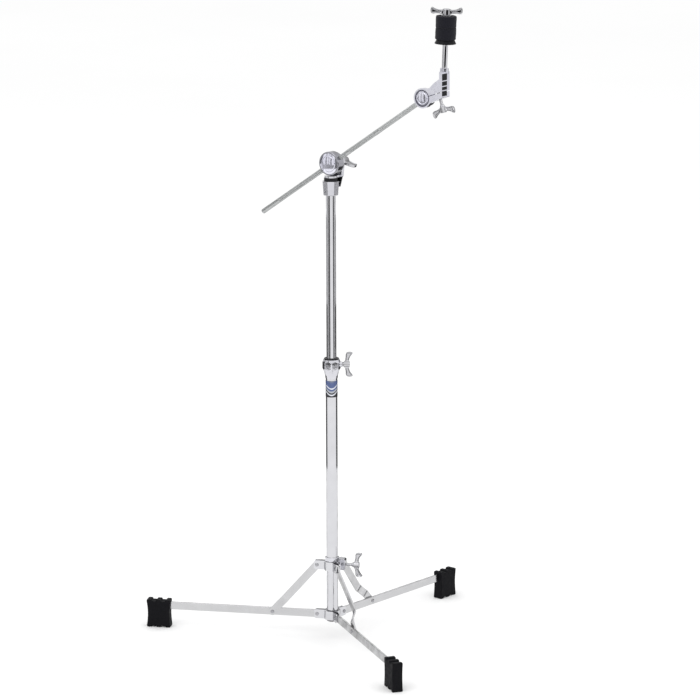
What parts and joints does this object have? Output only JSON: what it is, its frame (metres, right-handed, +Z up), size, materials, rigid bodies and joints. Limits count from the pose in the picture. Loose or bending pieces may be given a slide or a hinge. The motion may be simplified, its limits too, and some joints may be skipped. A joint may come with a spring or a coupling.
{
  "type": "cymbal boom stand",
  "caption": "Chrome boom stand for a cymbal: folding flat tripod base, two-tube column, knurled boom arm, ring-clamp tilter, felts and wing nut.",
  "frame": {"origin": "on the floor, on the axis of the column", "axes": "+Z up along the column; -Y is the front, the side with the badge; leg 1 points to -X and slightly +Y"},
  "size_m": [0.6141, 0.6369, 1.2367],
  "materials": {
    "chrome": "bright chrome plate",
    "zinc_steel": "plated steel, lightly brushed",
    "satin_knurl": "chrome plate over a fine diamond knurl",
    "black_nylon": "moulded black nylon",
    "black_plastic": "semi-gloss black",
    "polished_disc": "polished, slightly domed",
    "badge_enamel": "printed metal plate under clear lacquer",
    "black_felt": "dense wool felt",
    "black_rubber": "matte moulded rubber"
  },
  "bodies": {
    "column": {"lower_tube": "chrome", "tube_plug": "black_nylon", "badge": "badge_enamel", "height_collar": "chrome", "height_bushing": "black_nylon", "hub_core": "zinc_steel", "leg_pivot_rivets": "chrome", "hub_bracket_1": "chrome", "hub_bracket_2": "chrome", "hub_bracket_3": "chrome"},
    "slider": {"slider_casting": "chrome", "slider_bracket_1": "chrome", "slider_bracket_2": "chrome", "slider_bracket_3": "chrome", "brace_pivot_rivets": "chrome"},
    "base_wing_screw": {"base_wing_screw": "chrome"},
    "height_wing_screw": {"height_wing_screw": "chrome"},
    "upper_tube": {"upper_tube": "chrome", "guide_plug": "black_nylon", "boom_socket": "chrome", "socket_set_screw": "zinc_steel"},
    "boom_swivel": {"yoke": "chrome", "swivel_washer": "black_nylon"},
    "boom_clamp": {"clamp_front": "chrome", "clamp_emblem": "polished_disc", "clamp_rear": "chrome", "eye_bolt": "zinc_steel", "clamp_washer": "zinc_steel"},
    "boom_wing_nut": {"boom_wing_nut": "chrome"},
    "boom_arm": {"boom_arm": "satin_knurl", "arm_end_cap": "zinc_steel", "tilter_drum": "chrome", "drum_emblem": "polished_disc"},
    "tilter": {"tilter_clamp": "chrome", "tilter_inlays": "black_plastic", "cymbal_rod": "chrome", "cymbal_seat": "black_plastic", "rod_sleeve": "black_nylon", "lower_felt": "black_felt"},
    "tilter_wing_screw": {"tilter_wing_screw": "chrome"},
    "upper_felt": {"upper_felt": "black_felt", "top_washer": "zinc_steel"},
    "top_wing_nut": {"top_wing_nut": "chrome"},
    "leg_1": {"leg_1": "chrome", "foot_1": "black_rubber", "leg_rivet_1": "chrome"},
    "brace_1": {"brace_1": "chrome", "brace_rivet_1": "chrome"},
    "leg_2": {"leg_2": "chrome", "foot_2": "black_rubber", "leg_rivet_2": "chrome"},
    "brace_2": {"brace_2": "chrome", "brace_rivet_2": "chrome"},
    "leg_3": {"leg_3": "chrome", "foot_3": "black_rubber", "leg_rivet_3": "chrome"},
    "brace_3": {"brace_3": "chrome", "brace_rivet_3": "chrome"}
  },
  "joints": [
    {"name": "leg_1_fold", "type": "hinge", "parent": "column", "child": "leg_1", "pos_m": [-0.02895, 0.00568, 0.0432], "axis": [0.1925, 0.9813, 0], "range_deg": [0, 78]},
    {"name": "brace_1_swing", "type": "hinge", "parent": "slider", "child": "brace_1", "pos_m": [-0.02895, 0.00568, 0.142], "axis": [0.1925, 0.9813, 0], "range_deg": [-33.9, 0]},
    {"name": "leg_2_fold", "type": "hinge", "parent": "column", "child": "leg_2", "pos_m": [0.01939, 0.02223, 0.0432], "axis": [0.7536, -0.6574, 0], "range_deg": [0, 78]},
    {"name": "brace_2_swing", "type": "hinge", "parent": "slider", "child": "brace_2", "pos_m": [0.01939, 0.02223, 0.142], "axis": [0.7536, -0.6574, 0], "range_deg": [-33.9, 0]},
    {"name": "leg_3_fold", "type": "hinge", "parent": "column", "child": "leg_3", "pos_m": [0.00956, -0.02791, 0.0432], "axis": [-0.9461, -0.3239, 0], "range_deg": [0, 78]},
    {"name": "brace_3_swing", "type": "hinge", "parent": "slider", "child": "brace_3", "pos_m": [0.00956, -0.02791, 0.142], "axis": [-0.9461, -0.3239, 0], "range_deg": [-33.9, 0]},
    {"name": "slider_slide", "type": "slide", "parent": "column", "child": "slider", "axis": [0, 0, 1], "range_m": [0, 0.11932]},
    {"name": "base_screw_turn", "type": "hinge", "parent": "slider", "child": "base_wing_screw", "pos_m": [0.04072, -0.00799, 0.1445], "axis": [0.9813, -0.1925, 0], "continuous": true},
    {"name": "height_screw_turn", "type": "hinge", "parent": "column", "child": "height_wing_screw", "pos_m": [0.023, 0, 0.5395], "axis": [1, 0, 0], "continuous": true},
    {"name": "height_slide", "type": "slide", "parent": "column", "child": "upper_tube", "axis": [0, 0, 1], "range_m": [-0.3, 0.1]},
    {"name": "boom_swivel", "type": "hinge", "parent": "upper_tube", "child": "boom_swivel", "pos_m": [0, 0, 0.9268], "axis": [0, 0, 1], "continuous": true},
    {"name": "boom_tilt", "type": "hinge", "parent": "boom_swivel", "child": "boom_clamp", "pos_m": [0, 0, 0.9268], "axis": [-0.5864, -0.81, 0], "range_deg": [-83, 16]},
    {"name": "boom_nut_turn", "type": "hinge", "parent": "boom_clamp", "child": "boom_wing_nut", "pos_m": [0, 0, 0.9268], "axis": [-0.5864, -0.81, 0], "continuous": true},
    {"name": "boom_arm_slide", "type": "slide", "parent": "boom_clamp", "child": "boom_arm", "axis": [0.6755, -0.489, 0.5519], "range_m": [-0.115, 0.15]},
    {"name": "tilter_tilt", "type": "hinge", "parent": "boom_arm", "child": "tilter", "pos_m": [0.17245, -0.12483, 1.06771], "axis": [-0.5864, -0.81, 0], "range_deg": [-70, 90]},
    {"name": "tilter_screw_turn", "type": "hinge", "parent": "tilter", "child": "tilter_wing_screw", "pos_m": [0.20467, -0.14198, 1.05425], "axis": [0.2637, -0.1909, -0.9455], "continuous": true},
    {"name": "upper_felt_lift", "type": "slide", "parent": "tilter", "child": "upper_felt", "axis": [0.0339, -0.0246, 0.9991], "range_m": [0, 0.00605]},
    {"name": "top_nut_turn", "type": "hinge", "parent": "upper_felt", "child": "top_wing_nut", "pos_m": [0.21143, -0.14083, 1.22157], "axis": [0.0339, -0.0246, 0.9991], "range_deg": [0, 1728]}
  ],
  "couplings": [
    {"joint": "leg_2_fold", "follows": "leg_1_fold", "ratio": 1},
    {"joint": "leg_3_fold", "follows": "leg_1_fold", "ratio": 1},
    {"joint": "slider_slide", "follows": "leg_1_fold", "m_per_rad": 0.087504},
    {"joint": "brace_1_swing", "follows": "leg_1_fold", "ratio": -0.43434},
    {"joint": "brace_2_swing", "follows": "leg_1_fold", "ratio": -0.43434},
    {"joint": "brace_3_swing", "follows": "leg_1_fold", "ratio": -0.43434},
    {"joint": "upper_felt_lift", "follows": "top_nut_turn", "m_per_rad": 0.00019894}
  ]
}
